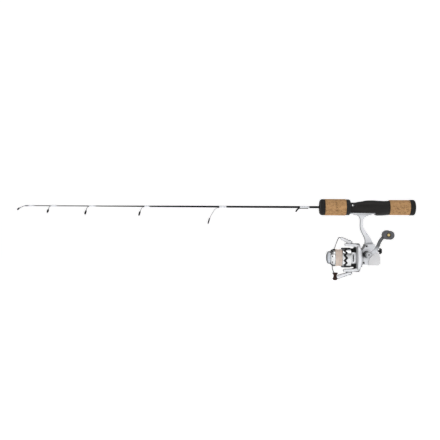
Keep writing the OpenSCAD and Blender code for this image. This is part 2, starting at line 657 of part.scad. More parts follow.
bail_wire_r = 0.75;
bail_wire_path = smooth([[-122.5, 3.6, -51.6], [-124.4, 6.5, -50.4], [-126.4, 14, -51], [-128.2, 26, -59.8],
    [-130.8, 32.6, -71], [-134.2, 35, -84], [-134.4, 32.2, -97], [-133.8, 25, -106.3], [-133.2, 15, -109.4],
    [-133.2, 7.6, -109.6]], 4);
roller_at = [-133.2, 6, 0];
roller_z = [-117, -110.8];
module bail_wire() color([0.75, 0.76, 0.78]) at_reel() {
    wire(bail_wire_path, bail_wire_r, [1, 0.2, 0.1], 10);
    translate(roller_at) difference() {
        rod_z(2.6, roller_z[1] + 0.1, roller_z[1] + 2.4);
        rod_z(1, roller_z[0], roller_z[1] + 1.4);
    }
}

module bail_arm() color([0.8, 0.81, 0.83]) at_reel() difference() {
    union() {
        bail_plate(axis_z - arm_pad_r - 3.6, axis_z - arm_pad_r - 0.1, 5, [-128.6, 5, -115.4], 3.5);
        translate(roller_at) rod_z(3.4, roller_z[0] - 1.6, roller_z[0] - 0.1);
    }
    translate(roller_at) rod_z(3.9, roller_z[0] - 0.1, -100);
    translate(roller_at) rod_z(1, -125, -110);
    translate([bail_pivot_x, 0, 0]) rod_z(1.5 + run, -125, -100);
    translate([bail_pivot_x, 0, 0]) rod_z(3.4, -125, axis_z - arm_pad_r - 3.6);
}

module bail_holder() color([0.8, 0.81, 0.83]) at_reel() difference() {
    bail_plate(axis_z + arm_pad_r + 0.1, axis_z + arm_pad_r + 3.4, 5, [-123, 4, -51.2], 2.3);
    translate([bail_pivot_x, 0, 0]) rod_z(1.5 + run, -65, -45);
    translate([bail_pivot_x, 0, 0]) rod_z(3.4, axis_z + arm_pad_r + 3.6, -45);
    wire(bail_wire_path, bail_wire_r, [1, 0.2, 0.1], 10);
}

// Shouldered screws, fixed in the rotor's arms, on which the bail's two ends turn
module bail_screws() color([0.45, 0.46, 0.48]) at_reel() on_spool_axis() for (s = [0, 180]) rotate([s, 0, 0])
    translate([bail_pivot_x, 0, 0]) difference() {
        union() {
            rod_z(1.5, 20.4, arm_pad_r + 3.8);
            rod_z(3, arm_pad_r + 3.8, arm_pad_r + 5);
        }
        block([-2, 2], [-0.3, 0.3], [arm_pad_r + 4.5, arm_pad_r + 6]);
    }

module roller_screw() color([0.12, 0.11, 0.11]) at_reel() translate(roller_at) {
    rod_z(1, roller_z[0] - 1.6, roller_z[1] + 1.4);
    rod_z(3.3, roller_z[0] - 3.4, roller_z[0] - 1.6);
    rod_z(2.4, roller_z[0] - 4, roller_z[0] - 3.4);
}

module line_roller() color([0.3, 0.2, 0.17]) at_reel() translate([roller_at[0], roller_at[1], 0]) difference() {
    rotate_extrude() polygon([[0, roller_z[0]], [3.3, roller_z[0]], [3.5, roller_z[0] + 0.6],
        [2.6, roller_z[0] + 2.4], [2.6, roller_z[1] - 2.4], [3.5, roller_z[1] - 0.6], [3.3, roller_z[1]],
        [0, roller_z[1]]]);
    rod_z(1 + run, -125, -100);
}

blank();
guide_frame(GUIDES[0]);  // guide_frame_1
guide_frame(GUIDES[1]);  // guide_frame_2
guide_frame(GUIDES[2]);  // guide_frame_3
guide_frame(GUIDES[3]);  // guide_frame_4
guide_ring(GUIDES[0]);  // guide_ring_1
guide_ring(GUIDES[1]);  // guide_ring_2
guide_ring(GUIDES[2]);  // guide_ring_3
guide_ring(GUIDES[3]);  // guide_ring_4
guide_wrap(GUIDES[0]);  // guide_wrap_1
guide_wrap(GUIDES[1]);  // guide_wrap_2
guide_wrap(GUIDES[2]);  // guide_wrap_3
guide_wrap(GUIDES[3]);  // guide_wrap_4
tip_frame();
tip_ring();
tip_wrap();
hook_keeper();
keeper_wrap();
front_cap();
front_cork();
threaded_nut();
locking_hood();
reel_seat();
rear_cork();
butt_cap();
reel_body();
side_cover();
rear_cover();
cover_screws();
dust_cap();
anti_reverse_switch();
drive_bushings();
pinion_bearing();
anti_reverse_clutch();
pinion_bushing();
guide_rod();
drive_gear();
crank_hub();
crank_arm();
crank_screw();
knob_axle();
crank_knob();
pinion();
rotor();
rotor_nut();
bail_spring();
oscillation_gear();
main_shaft();
oscillation_slider();
spool();
wound_line();
drag_washers();
drag_knob();
bail_wire();
bail_arm();
bail_holder();
bail_screws();
roller_screw();
line_roller();
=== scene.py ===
"""Ice fishing rod with a small spinning reel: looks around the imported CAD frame, in metres."""
import json
import math

import bpy
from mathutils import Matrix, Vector, noise


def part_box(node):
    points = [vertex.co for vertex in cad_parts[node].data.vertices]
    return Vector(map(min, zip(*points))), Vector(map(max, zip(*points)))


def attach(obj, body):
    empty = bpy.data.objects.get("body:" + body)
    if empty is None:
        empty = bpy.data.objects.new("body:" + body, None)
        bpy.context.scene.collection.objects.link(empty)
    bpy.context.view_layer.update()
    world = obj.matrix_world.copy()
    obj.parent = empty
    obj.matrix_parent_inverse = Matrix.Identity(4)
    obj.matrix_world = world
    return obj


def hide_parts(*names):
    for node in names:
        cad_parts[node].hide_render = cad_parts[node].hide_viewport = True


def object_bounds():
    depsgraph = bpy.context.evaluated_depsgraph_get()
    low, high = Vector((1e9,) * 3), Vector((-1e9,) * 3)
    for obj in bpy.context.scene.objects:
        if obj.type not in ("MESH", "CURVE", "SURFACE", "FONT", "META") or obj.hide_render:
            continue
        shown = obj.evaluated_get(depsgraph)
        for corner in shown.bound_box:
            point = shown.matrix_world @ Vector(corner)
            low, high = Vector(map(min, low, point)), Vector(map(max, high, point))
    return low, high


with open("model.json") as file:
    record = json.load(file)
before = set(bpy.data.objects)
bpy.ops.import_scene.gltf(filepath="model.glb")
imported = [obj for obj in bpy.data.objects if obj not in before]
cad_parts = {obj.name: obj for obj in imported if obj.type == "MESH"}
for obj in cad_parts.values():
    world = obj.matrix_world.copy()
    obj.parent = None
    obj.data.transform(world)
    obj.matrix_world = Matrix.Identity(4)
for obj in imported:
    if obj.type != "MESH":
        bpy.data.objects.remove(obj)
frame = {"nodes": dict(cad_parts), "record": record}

CAD_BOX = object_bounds()
MM = 0.001
TAU = 2 * math.pi


# ---------- places, read from the frame ----------
def lengthwise(node):
    """(x nearest the tip, x nearest the butt) of a node."""
    low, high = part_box(node)
    return low.x, high.x


def radius_of(node):
    """Half the height of a node that is round about an X axis."""
    low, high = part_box(node)
    return (high.z - low.z) / 2


SPOOL_LOW, SPOOL_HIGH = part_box("spool")
SPOOL_AXIS = (0.0, (SPOOL_LOW.z + SPOOL_HIGH.z) / 2)
ROD_AXIS = (0.0, 0.0)


# ---------- mesh building ----------
def link(obj):
    bpy.context.scene.collection.objects.link(obj)
    return obj


def piece(name, verts, faces, body, slot, replaced=()):
    """A smooth-shaded mesh that rides on a body and stands for CAD nodes."""
    mesh = bpy.data.meshes.new(name)
    mesh.from_pydata(verts, [], faces)
    mesh.validate()
    mesh.shade_smooth()
    obj = link(bpy.data.objects.new(name, mesh))
    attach(obj, body)
    if replaced:
        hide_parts(*replaced)
    obj.data.materials.append(MATERIALS[slot])
    return obj


def lathe(profile, axis=ROD_AXIS, segments=96, shape=None):
    """Revolves closed (radius, x) points about the line along X through axis.

    A profile that starts and ends at radius 0 gets a single point at each end.
    shape(radius, x, angle) may change the radius.
    """
    poles = profile[0][0] == 0
    ring_points = profile[1:-1] if poles else profile
    verts = []
    for radius, x in ring_points:
        for j in range(segments):
            angle = TAU * j / segments
            r = shape(radius, x, angle) if shape else radius
            verts.append((x, axis[0] + r * math.cos(angle), axis[1] + r * math.sin(angle)))
    faces = []
    count = len(ring_points)
    last = count - 1 if poles else count
    for i in range(last):
        a = i * segments
        b = (i + 1) % count * segments
        for j in range(segments):
            k = (j + 1) % segments
            faces.append((a + j, a + k, b + k, b + j))
    if poles:
        for x, ring, flip in ((profile[0][1], 0, True), (profile[-1][1], (count - 1) * segments, False)):
            pole = len(verts)
            verts.append((x, axis[0], axis[1]))
            for j in range(segments):
                k = (j + 1) % segments
                faces.append((pole, ring + k, ring + j) if flip else (pole, ring + j, ring + k))
    return verts, faces


# ---------- materials ----------
class Nodes:
    """Short names for the shader nodes of one material."""

    def __init__(self, name, color, roughness, metallic=0.0, coat=0.0, specular=0.5):
        self.material = bpy.data.materials.new(name)
        self.material.use_nodes = True
        self.tree = self.material.node_tree
        self.shader = self.tree.nodes["Principled BSDF"]
        self.set("Base Color", (*color, 1))
        self.set("Roughness", roughness)
        self.set("Metallic", metallic)
        self.set("Coat Weight", coat)
        self.set("Coat Roughness", 0.08)
        self.set("Specular IOR Level", specular)

    def set(self, socket, value):
        if isinstance(value, bpy.types.NodeSocket):
            self.tree.links.new(value, self.shader.inputs[socket])
        else:
            self.shader.inputs[socket].default_value = value

    def add(self, kind, inputs=(), **settings):
        node = self.tree.nodes.new(kind)
        for key, value in settings.items():
            setattr(node, key, value)
        for socket, value in dict(inputs).items():
            if isinstance(value, bpy.types.NodeSocket):
                self.tree.links.new(value, node.inputs[socket])
            else:
                node.inputs[socket].default_value = value
        return node

    def place(self, scale=(1, 1, 1)):
        """Object coordinates, in metres, scaled along each axis."""
        coords = self.add("ShaderNodeTexCoord")
        mapping = self.add("ShaderNodeMapping", {"Vector": coords.outputs["Object"], "Scale": scale})
        return mapping.outputs["Vector"]

    def grain(self, scale, detail=3.0, roughness=0.55, stretch=(1, 1, 1)):
        """Noise with features about 1 / scale metres across."""
        return self.add("ShaderNodeTexNoise", {
            "Vector": self.place(stretch), "Scale": scale, "Detail": detail, "Roughness": roughness,
        }).outputs["Fac"]

    def ramp(self, value, low, high, to_low=0.0, to_high=1.0):
        return self.add("ShaderNodeMapRange", {
            "Value": value, "From Min": low, "From Max": high, "To Min": to_low, "To Max": to_high,
        }).outputs["Result"]

    def mix(self, factor, first, second):
        node = self.add("ShaderNodeMix", data_type="RGBA")
        for index, value in ((0, factor), (6, first), (7, second)):
            if isinstance(value, bpy.types.NodeSocket):
                self.tree.links.new(value, node.inputs[index])
            else:
                node.inputs[index].default_value = value if index == 0 else (*value[:3], 1)
        return node.outputs[2]

    def math(self, operation, *values):
        node = self.add("ShaderNodeMath", operation=operation)
        for index, value in enumerate(values):
            if isinstance(value, bpy.types.NodeSocket):
                self.tree.links.new(value, node.inputs[index])
            else:
                node.inputs[index].default_value = value
        return node.outputs[0]

    def paint_edge_and_crevice_shade(self, color, darkest):
        """Painted shade: the colour, darker where the surface turns away and where it lies in a crevice."""
        facing = self.add("ShaderNodeLayerWeight", {"Blend": 0.5}).outputs["Facing"]
        crevice = self.add("ShaderNodeAmbientOcclusion", {"Distance": 4 * MM}, samples=4).outputs["AO"]
        turned = self.ramp(facing, 0.25, 0.72, 1.0, darkest)
        ao_shade_factor = self.ramp(crevice, 0.35, 0.95, 0.05, 1.0)
        light = self.math("MULTIPLY", turned, ao_shade_factor)
        # mixes the colour towards near-black: painted shade on turned-away edges and in crevices
        self.set("Base Color", self.mix(light, (0.01, 0.01, 0.01), color))

    def bump(self, height, strength, distance):
        node = self.add("ShaderNodeBump", {"Height": height, "Strength": strength, "Distance": distance})
        self.set("Normal", node.outputs["Normal"])
        return self


def shade(color, factor):
    return tuple(min(1.0, c * factor) for c in color)


def gloss_black(name, color):
    """Clear-coated black, with faint lengthwise streaks."""
    color = shade(color, 0.2)
    m = Nodes(name, color, 0.3, specular=0.06)
    streak = m.grain(900, stretch=(0.08, 1, 1))
    m.set("Base Color", m.mix(streak, shade(color, 0.6), shade(color, 1.6)))
    m.set("Roughness", m.ramp(streak, 0.3, 0.7, 0.22, 0.4))
    m.bump(streak, 0.05, 0.05 * MM)
    return m.material


def cork(name, color):
    """Pressed cork: pale cells, brown flecks and dark pores, all drawn out round the grip."""
    color = (0.66 * color[0], 0.58 * color[1], 0.5 * color[2])
    m = Nodes(name, color, 0.85, specular=0.15)
    cells = m.add("ShaderNodeTexVoronoi", {"Vector": m.place((0.7, 1, 1)), "Scale": 900.0})
    mottle = m.grain(260, detail=5.0)
    flecks = m.grain(520, detail=4.0, roughness=0.7, stretch=(0.45, 1, 1))
    pores = m.grain(700, detail=2.0, stretch=(1, 0.5, 0.5))
    base = m.mix(m.ramp(mottle, 0.35, 0.65), shade(color, 0.82), shade(color, 1.2))
    base = m.mix(m.ramp(cells.outputs["Distance"], 0.2, 0.8, 0.0, 0.35), base, shade(color, 0.75))
    base = m.mix(m.ramp(flecks, 0.55, 0.63), base, shade(color, 0.4))
    base = m.mix(m.ramp(pores, 0.66, 0.72), base, shade(color, 0.22))
    m.set("Base Color", base)
    height = m.math("ADD", m.ramp(pores, 0.6, 0.72, 1.0, 0.0), m.ramp(mottle, 0.3, 0.7, 0.0, 0.3))
    return m.bump(height, 0.5, 0.25 * MM).material


def foam(name, color):
    """Fine closed-cell foam, black and dull."""
    color = shade(color, 0.22)
    m = Nodes(name, color, 0.75, specular=0.15)
    cell = m.grain(2600, detail=2.0)
    cloud = m.grain(160)
    m.set("Base Color", m.mix(cloud, shade(color, 0.75), shade(color, 1.3)))
    m.set("Roughness", m.ramp(cell, 0.3, 0.7, 0.62, 0.85))
    return m.bump(cell, 0.35, 0.12 * MM).material


def moulded(name, color):
    """Satin moulded plastic with a fine spark-eroded texture."""
    color = shade(color, 0.22)
    roughness = 0.42
    m = Nodes(name, color, roughness, specular=0.16)
    grit = m.grain(3200, detail=2.0)
    cloud = m.grain(90, detail=4.0)
    m.set("Base Color", m.mix(cloud, shade(color, 0.8), shade(color, 1.25)))
    m.set("Roughness", m.ramp(cloud, 0.3, 0.7, roughness - 0.08, roughness + 0.1))
    return m.bump(grit, 0.18, 0.06 * MM).material


def silver_paint(name, color):
    """Metallic paint: flakes under a clear coat, slightly uneven, with painted shade on turned-away edges
    and in crevices.
    """
    color = shade(color, 0.9)
    m = Nodes(name, color, 0.3, metallic=0.25, specular=0.2)
    flake = m.add("ShaderNodeTexVoronoi", {"Vector": m.place(), "Scale": 9000.0}).outputs["Color"]
    spread = m.grain(120, detail=4.0)
    tone = m.add("ShaderNodeRGBToBW", {"Color": flake}).outputs["Val"]
    # painted shade: the paint darkens towards near-black on turned-away edges and in crevices
    m.paint_edge_and_crevice_shade(m.mix(tone, shade(color, 0.86), shade(color, 1.1)), 0.05)
    m.set("Specular Tint", (0.15, 0.15, 0.16, 1))
    m.set("Roughness", m.ramp(spread, 0.3, 0.7, 0.27, 0.42))
    return m.bump(m.grain(1500), 0.05, 0.05 * MM).material


def turned_metal(name, color, roughness=0.25):
    """Metal with the fine rings that turning and polishing leave, and painted shade on turned-away edges
    and in crevices.
    """
    color = shade(color, 0.8)
    m = Nodes(name, color, roughness, metallic=1.0)
    rings = m.grain(5200, detail=2.0, stretch=(1, 0.03, 0.03))
    smear = m.grain(180, detail=4.0)
    # painted shade: the metal darkens towards near-black on turned-away edges and in crevices
    m.paint_edge_and_crevice_shade(m.mix(smear, shade(color, 0.88), shade(color, 1.08)), 0.05)
    m.set("Specular Tint", (0.12, 0.12, 0.13, 1))
    m.set("Roughness", m.ramp(smear, 0.3, 0.7, roughness - 0.06, roughness + 0.12))
    return m.bump(rings, 0.12, 0.03 * MM).material


def thread(name, color):
    """Whipping thread under varnish."""
    m = Nodes(name, color, 0.3, metallic=0.7, coat=0.5)
    strand = m.grain(4000, stretch=(1, 0.1, 0.1))
    m.set("Base Color", m.mix(strand, shade(color, 0.6), shade(color, 1.15)))
    m.set("Roughness", m.ramp(strand, 0.3, 0.7, 0.2, 0.42))
    return m.bump(strand, 0.15, 0.04 * MM).material


def monofilament(name, color):
    """Clear line: pale and pinkish where it lies many turns deep."""
    color = shade(color, 0.7)
    m = Nodes(name, color, 0.28, coat=0.2)
    shift = m.grain(300, stretch=(1, 0.3, 0.3))
    m.set("Base Color", m.mix(shift, shade(color, 0.82), shade(color, 1.12)))
    m.set("Subsurface Weight", 0.25)
    m.set("Subsurface Radius", (1.2 * MM, 0.8 * MM, 0.6 * MM))
    m.set("Roughness", m.ramp(shift, 0.3, 0.7, 0.2, 0.4))
    return m.bump(m.grain(2500), 0.1, 0.03 * MM).material


def arm_metal(name, color):
    """The crank arm: bright by the hub, dark grey over its outer half as a painted dark reflection; painted
    shade on edges and in crevices.
    """
    m = Nodes(name, color, 0.35, metallic=0.3, specular=0.2)
    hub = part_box("crank_hub")[1].z
    height = m.add("ShaderNodeSeparateXYZ", {"Vector": m.place()}).outputs["Z"]
    smear = m.grain(180, detail=4.0)
    # painted reflection: the outer half, which leans out and mirrors the dark room, is painted dark grey
    dark = m.mix(smear, shade(color, 0.18), shade(color, 0.28))
    m.paint_edge_and_crevice_shade(m.mix(m.ramp(height, hub + 1 * MM, hub + 9 * MM), shade(color, 1.1), dark), 0.15)
    m.set("Specular Tint", (0.3, 0.3, 0.32, 1))
    return m.bump(m.grain(1500), 0.06, 0.04 * MM).material


def soft_touch(name, color):
    """Dark rubbery coating, lighter where it is rubbed."""
    color = shade(color, 0.5)
    m = Nodes(name, color, 0.5, specular=0.4)
    rub = m.grain(140, detail=5.0)
    # painted shade: the coating darkens towards near-black on turned-away edges and in crevices
    m.paint_edge_and_crevice_shade(m.mix(rub, shade(color, 0.7), shade(color, 1.5)), 0.05)
    m.set("Roughness", m.ramp(rub, 0.3, 0.7, 0.4, 0.62))
    return m.bump(m.grain(2400), 0.2, 0.06 * MM).material


def felt(name, color):
    """Oiled felt of the drag washers."""
    m = Nodes(name, color, 0.9)
    fibre = m.grain(2200, detail=5.0)
    m.set("Base Color", m.mix(fibre, shade(color, 0.6), shade(color, 1.6)))
    return m.bump(fibre, 0.5, 0.1 * MM).material


def painted_reflection_wire(name, color):
    """Polished wire, its colour darkened as a painted reflection of the dark side of the room."""
    return turned_metal(name, shade(color, 0.4), 0.2)


def make_materials():
    colors = {row["slot"]: tuple(row["base_color"][:3]) for row in frame["record"]["materials"]}
    kinds = {
        "blank_black": gloss_black, "guide_insert": gloss_black, "keeper_black": gloss_black,
        "guide_metal": turned_metal, "steel": turned_metal, "brass": turned_metal,
        "gear_zinc": turned_metal, "arm_grey": arm_metal, "spool_silver": turned_metal,
        "bright_wire": painted_reflection_wire, "wrap_silver": thread, "wrap_black": thread,
        "cap_black": foam, "cork": cork, "seat_black": moulded, "hood_black": moulded,
        "nut_plastic": moulded, "small_black": moulded, "drag_grey": silver_paint,
        "reel_silver": silver_paint, "cover_silver": silver_paint, "rotor_silver": silver_paint,
        "knob_grey": soft_touch, "line_tan": monofilament, "washer_dark": felt, "roller_brown": gloss_black,
    }
    return {slot: kinds[slot](slot, color) for slot, color in colors.items()}


MATERIALS = make_materials()
SLOTS = {row["node"]: row["material_slot"] for row in frame["record"]["subparts"]}
# these two look different from their CAD colours
SLOTS.update(keeper_wrap="wrap_silver", roller_screw="roller_brown")
BODIES = {node: body for body, nodes in frame["record"]["behaviour"]["bodies"].items() for node in nodes}


def dress_cad_nodes():
    """Every CAD node gets its slot's material."""
    for name, obj in frame["nodes"].items():
        obj.data.materials.clear()
        obj.data.materials.append(MATERIALS[SLOTS[name]])


# ---------- pieces that stand for CAD nodes ----------
def baked(obj):
    """Replaces an object's mesh with the mesh its modifiers give."""
    depsgraph = bpy.context.evaluated_depsgraph_get()
    mesh = bpy.data.meshes.new_from_object(obj.evaluated_get(depsgraph))
    old = obj.data
    obj.modifiers.clear()
    obj.data = mesh
    bpy.data.meshes.remove(old)
    return mesh


def relax(obj, rounds, group=""):
    modifier = obj.modifiers.new("relax", "SMOOTH")
    modifier.factor = 0.5
    modifier.iterations = rounds
    modifier.vertex_group = group


def cast(node, voxel, rounds, kept=0.5, soft=None, soft_rounds=0, thicken=0.0):
    """The node's own solid, remeshed finely and relaxed so that its edges are softly rounded.

    soft(point) gives the places, from 0 to 1, that are relaxed by soft_rounds more.
    thicken is a coat of paint, in metres, for thin wires.
    kept is the share of the faces that stays.
    """
    source = frame["nodes"][node]
    obj = link(bpy.data.objects.new(node + "_shell", source.data.copy()))
    obj.matrix_world = source.matrix_world
    remesh = obj.modifiers.new("remesh", "REMESH")
    remesh.mode = "VOXEL"
    remesh.voxel_size = voxel
    relax(obj, rounds)
    mesh = baked(obj)
    if soft:
        group = obj.vertex_groups.new(name="soft")
        steps = {}
        for vertex in mesh.vertices:
            steps.setdefault(round(10 * soft(vertex.co)), []).append(vertex.index)
        for step, indices in steps.items():
            group.add(indices, step / 10, "REPLACE")
        relax(obj, soft_rounds, "soft")
    if thicken:
        for vertex, normal in [(v, v.normal.copy()) for v in mesh.vertices]:
            vertex.co += thicken * normal
    fewer = obj.modifiers.new("fewer", "DECIMATE")
    fewer.ratio = kept
    mesh = baked(obj)
    mesh.name = node + "_shell"
    mesh.shade_smooth()
    mesh.materials.clear()
    mesh.materials.append(MATERIALS[SLOTS[node]])
    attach(obj, BODIES[node])
    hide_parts(node)
    return obj


STEM_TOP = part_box("reel_body")[1].z - 6 * MM
STEM_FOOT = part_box("side_cover")[1].z + 1 * MM


def stem(point):
    """1 in the reel's stem, falling to 0 towards its foot and its gear case."""
    return max(0.0, min(1.0, (STEM_TOP - point.z) / (4 * MM), (point.z - STEM_FOOT) / (4 * MM)))


def cast_nodes():
    fine = 0.25 * MM
    medium = 0.4 * MM
    for node in ("bail_wire", "bail_arm", "bail_holder", "anti_reverse_switch", "crank_hub"):
        cast(node, fine, 3)
    for node in ("side_cover", "rear_cover", "dust_cap", "locking_hood", "line_roller"):
        cast(node, medium, 2)
    for node in ("rotor", "crank_arm", "reel_seat"):
        cast(node, medium, 4)
    cast("hook_keeper", 0.15 * MM, 2, thicken=0.9 * MM)
    cast("tip_frame", 0.15 * MM, 2, thicken=0.15 * MM)
    cast("crank_knob", medium, 16)
    cast("reel_body", medium, 3, 0.4, stem, 24)


def pitted(depth, size):
    """A radius change for cork: shallow waves and scattered open pores."""
    def shape(radius, x, angle):
        along = Vector((x / size * 0.6, radius * math.cos(angle) / size, radius * math.sin(angle) / size))
        pore = noise.noise(along)
        split = noise.noise(along * 0.45 + Vector((7.3, 1.1, 4.2)))
        sunk = max(0.0, pore - 0.38) * 2.2 + max(0.0, split - 0.42) * 1.8
        return radius - depth * min(1.0, sunk)
    return shape


def cork_grip(node, body):
    """A sanded cork sleeve with rounded ends and real pores."""
    x0, x1 = lengthwise(node)
    outer = radius_of(node)
    inner = outer - 3 * MM
    edge = 0.5 * MM
    steps = int((x1 - x0 - 2 * edge) / (0.35 * MM))
    profile = [(inner, x0), (outer - edge, x0), (outer - 0.15 * edge, x0 + 0.4 * edge)]
    profile += [(outer, x0 + edge + (x1 - x0 - 2 * edge) * i / steps) for i in range(steps + 1)]
    profile += [(outer - 0.15 * edge, x1 - 0.4 * edge), (outer - edge, x1), (inner, x1)]
    pores = pitted(0.35 * MM, 1.3 * MM)
    def shape(radius, x, angle):
        return pores(radius, x, angle) if radius > outer - 0.2 * edge else radius
    verts, faces = lathe(profile, segments=260, shape=shape)
    return piece(node + "_sleeve", verts, faces, body, SLOTS[node], (node,))


def ridges(x0, x1, pitch, height, radius_at):
    """Profile points of a close winding between x0 and x1."""
    turns = max(2, round((x1 - x0) / pitch))
    points = []
    for i in range(turns):
        for k, lift in enumerate((0.0, 0.75, 1.0, 0.75)):
            x = x0 + (x1 - x0) * (i + k / 4) / turns
            points.append((radius_at(x) - height * (1 - lift), x))
    points.append((radius_at(x1) - height, x1))
    return points


def thread_wrap(node, body):
    """Whipping: turns of thread over the blank, tapering at the ends."""
    x0, x1 = lengthwise(node)
    outer = radius_of(node)
    taper = 0.9 * MM
    def radius_at(x):
        end = min(x - x0, x1 - x) / taper
        return outer - 0.3 * MM * (1 - min(1.0, end)) ** 2
    inner = outer * 0.55
    profile = [(inner, x0)] + ridges(x0, x1, 0.3 * MM, 0.06 * MM, radius_at) + [(inner, x1)]
    verts, faces = lathe(profile, segments=40)
    return piece(node + "_turns", verts, faces, body, SLOTS[node], (node,))


def wound_line():
    """Line on the spool: close turns on a slightly waisted winding, cross-laid by the spool's stroke."""
    x0, x1 = lengthwise("wound_line")
    outer = radius_of("wound_line")
    middle = (x0 + x1) / 2
    half = (x1 - x0) / 2
    waist, sunk = 0.55 * MM, 0.1 * MM
    def radius_at(x):
        return outer - waist * (1 - ((x - middle) / half) ** 2) - sunk
    turns = 34
    pitch = (x1 - x0) / turns
    steps = turns * 6
    inner = outer - 3 * MM
    profile = [(inner, x0)]
    for i in range(steps + 1):
        x = x0 + (x1 - x0) * i / steps
        profile.append((radius_at(x), x))
    profile.append((inner, x1))
    groove, unevenness = 0.14 * MM, 0.12 * MM
    def shape(radius, x, angle):
        if radius <= inner:
            return radius
        lay = (x - x0) / pitch
        ridge = abs(math.sin(math.pi * (lay + angle / TAU)))
        cross = noise.noise(Vector((x * 400, 3 * math.cos(angle), 3 * math.sin(angle))))
        return radius - groove * (1 - ridge) + unevenness * cross
    verts, faces = lathe(profile, SPOOL_AXIS, 160, shape)
    return piece("wound_line_turns", verts, faces, "spool", "line_tan", ("wound_line",))


def foam_cap(node, rounding, tip_side):
    """A turned foam cap, rounded at its open end and pressed flat against the cork."""
    x0, x1 = lengthwise(node)
    outer = radius_of(node)
    bore = 2.4 * MM
    edge = 0.4 * MM
    steps = 10
    curve = []
    for i in range(steps + 1):
        a = math.radians(90) * i / steps
        curve.append((outer - rounding + rounding * math.sin(a), rounding * (1 - math.cos(a))))
    if tip_side:
        profile = [(bore, x1), (bore, x0 + 0.3 * MM), (bore + 0.3 * MM, x0)]
        profile += [(r, x0 + d) for r, d in curve]
        profile += [(outer, x1 - edge), (outer - 0.3 * edge, x1 - 0.3 * edge), (outer - edge, x1)]
    else:
        x0 = lengthwise("rear_cork")[1]
        profile = [(0, x0), (outer - edge, x0), (outer - 0.3 * edge, x0 + 0.3 * edge), (outer, x0 + edge)]
        profile += [(r, x1 - d) for r, d in reversed(curve)]
        profile += [(0, x1)]
    verts, faces = lathe(profile, segments=160)
    return piece(node + "_foam", verts, faces, BODIES[node], SLOTS[node], (node,))


def drag_dome():
    """Drag knob: a domed cap with shallow finger flutes round its rim."""
    x0, x1 = lengthwise("drag_knob")
    outer = radius_of("drag_knob")
    rim_height = 2.2 * MM
    dome = x1 - rim_height - x0
    bore = 2.3 * MM
    bore_end = x1 - 4 * MM
    edge = 0.4 * MM
    profile = [(0, bore_end), (bore, bore_end), (bore, x1), (outer - edge, x1), (outer, x1 - edge)]
    profile += [(outer, x1 - rim_height + 0.3 * MM * k) for k in (5, 4, 3, 2, 1)]
    for a in range(0, 90, 6):
        lift = math.sin(math.radians(a))
        profile.append((outer * math.cos(math.radians(a)), x0 + dome * (1 - lift)))
    profile.append((0, x0))
    flutes, flute_depth = 12, 0.35 * MM
    def shape(radius, x, angle):
        rim = max(0.0, min(1.0, (radius - 0.8 * outer) / (0.15 * outer)))
        return radius - flute_depth * rim * max(0.0, math.cos(flutes * angle)) ** 2
    verts, faces = lathe(profile, SPOOL_AXIS, 192, shape)
    return piece("drag_dome", verts, faces, "drag", "drag_grey", ("drag_knob",))


def skirt_band():
    """Printed zigzag round the spool's skirt."""
    x0, x1 = lengthwise("spool")
    radius = radius_of("spool") + 0.04 * MM
    middle = x0 + 0.71 * (x1 - x0)
    waves = 12
    segments = 16 * waves
    swing, half = 1.8 * MM, 2.2 * MM
    thickness = 0.12 * MM
    verts = []
    for j in range(segments):
        angle = TAU * j / segments
        turn = (waves * j / segments) % 1
        centre = middle + swing * (4 * abs(turn - 0.5) - 1)
        for depth, side in ((0.0, -1), (0.0, 1), (thickness, 1), (thickness, -1)):
            r = radius - depth
            y = SPOOL_AXIS[0] + r * math.cos(angle)
            verts.append((centre + side * half, y, SPOOL_AXIS[1] + r * math.sin(angle)))
    faces = []
    for j in range(segments):
        a, b = 4 * j, 4 * ((j + 1) % segments)
        for k in range(4):
            n = (k + 1) % 4
            faces.append((a + k, a + n, b + n, b + k))
    return piece("skirt_band", verts, faces, "spool", "small_black")


def disc(name, centre, normal, radius, thickness, body, slot, segments=32):
    """A coin with slightly broken edges, facing along normal."""
    turn = Vector(normal).to_track_quat("Z", "Y")
    bevel = 0.25 * thickness
    rings = ((radius - bevel, -0.5), (radius, -0.25), (radius, 0.25), (radius - bevel, 0.5))
    verts = []
    for r, height in rings:
        for j in range(segments):
            angle = TAU * j / segments
            point = Vector((r * math.cos(angle), r * math.sin(angle), height * thickness))
            verts.append(tuple(Vector(centre) + turn @ point))
    faces = [tuple(reversed(range(segments))), tuple(range(3 * segments, 4 * segments))]
    for i in range(3):
        for j in range(segments):
            a, b = i * segments + j, i * segments + (j + 1) % segments
            faces.append((a, b, b + segments, a + segments))
    return piece(name, verts, faces, body, slot)


def screw_recess_shades():
    """Black discs on the three cover screws: painted shade of their driver recesses."""
    low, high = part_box("cover_screws")
    head = 1.9 * MM
    places = ((low.x + 0.24 * (high.x - low.x), high.z - head), (low.x + head, low.z + head),
              (high.x - head, low.z + head))
    for number, (x, z) in enumerate(places, 1):
        centre = (x, low.y - 0.05 * MM, z)
        # each disc is painted shade of a screw's driver recess
        disc(f"screw_recess_shade_{number}", centre, (0, 1, 0), 1.45 * MM, 0.2 * MM, "rod", "small_black")


def roller_caps():
    """Dark flanges above and below the line roller, where the bail's wire and arm end."""
    low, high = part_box("line_roller")
    x, y = (low.x + high.x) / 2, (low.y + high.y) / 2
    radius = (high.x - low.x) / 2 + 1.0 * MM
    for side, z in (("upper", high.z + 1.4 * MM), ("lower", low.z - 1.3 * MM)):
        disc("roller_cap_" + side, (x, y, z), (0, 0, 1), radius, 2.2 * MM, "bail", "roller_brown")


def lacquered_blank():
    """The blank under its thick black lacquer, which is as long as the blank itself."""
    source = frame["nodes"]["blank"]
    thicker = 1.4
    verts = [(v.co.x, thicker * v.co.y, thicker * v.co.z) for v in source.data.vertices]
    faces = [tuple(face.vertices) for face in source.data.polygons]
    piece("blank_lacquer", verts, faces, "rod", SLOTS["blank"], ("blank",))


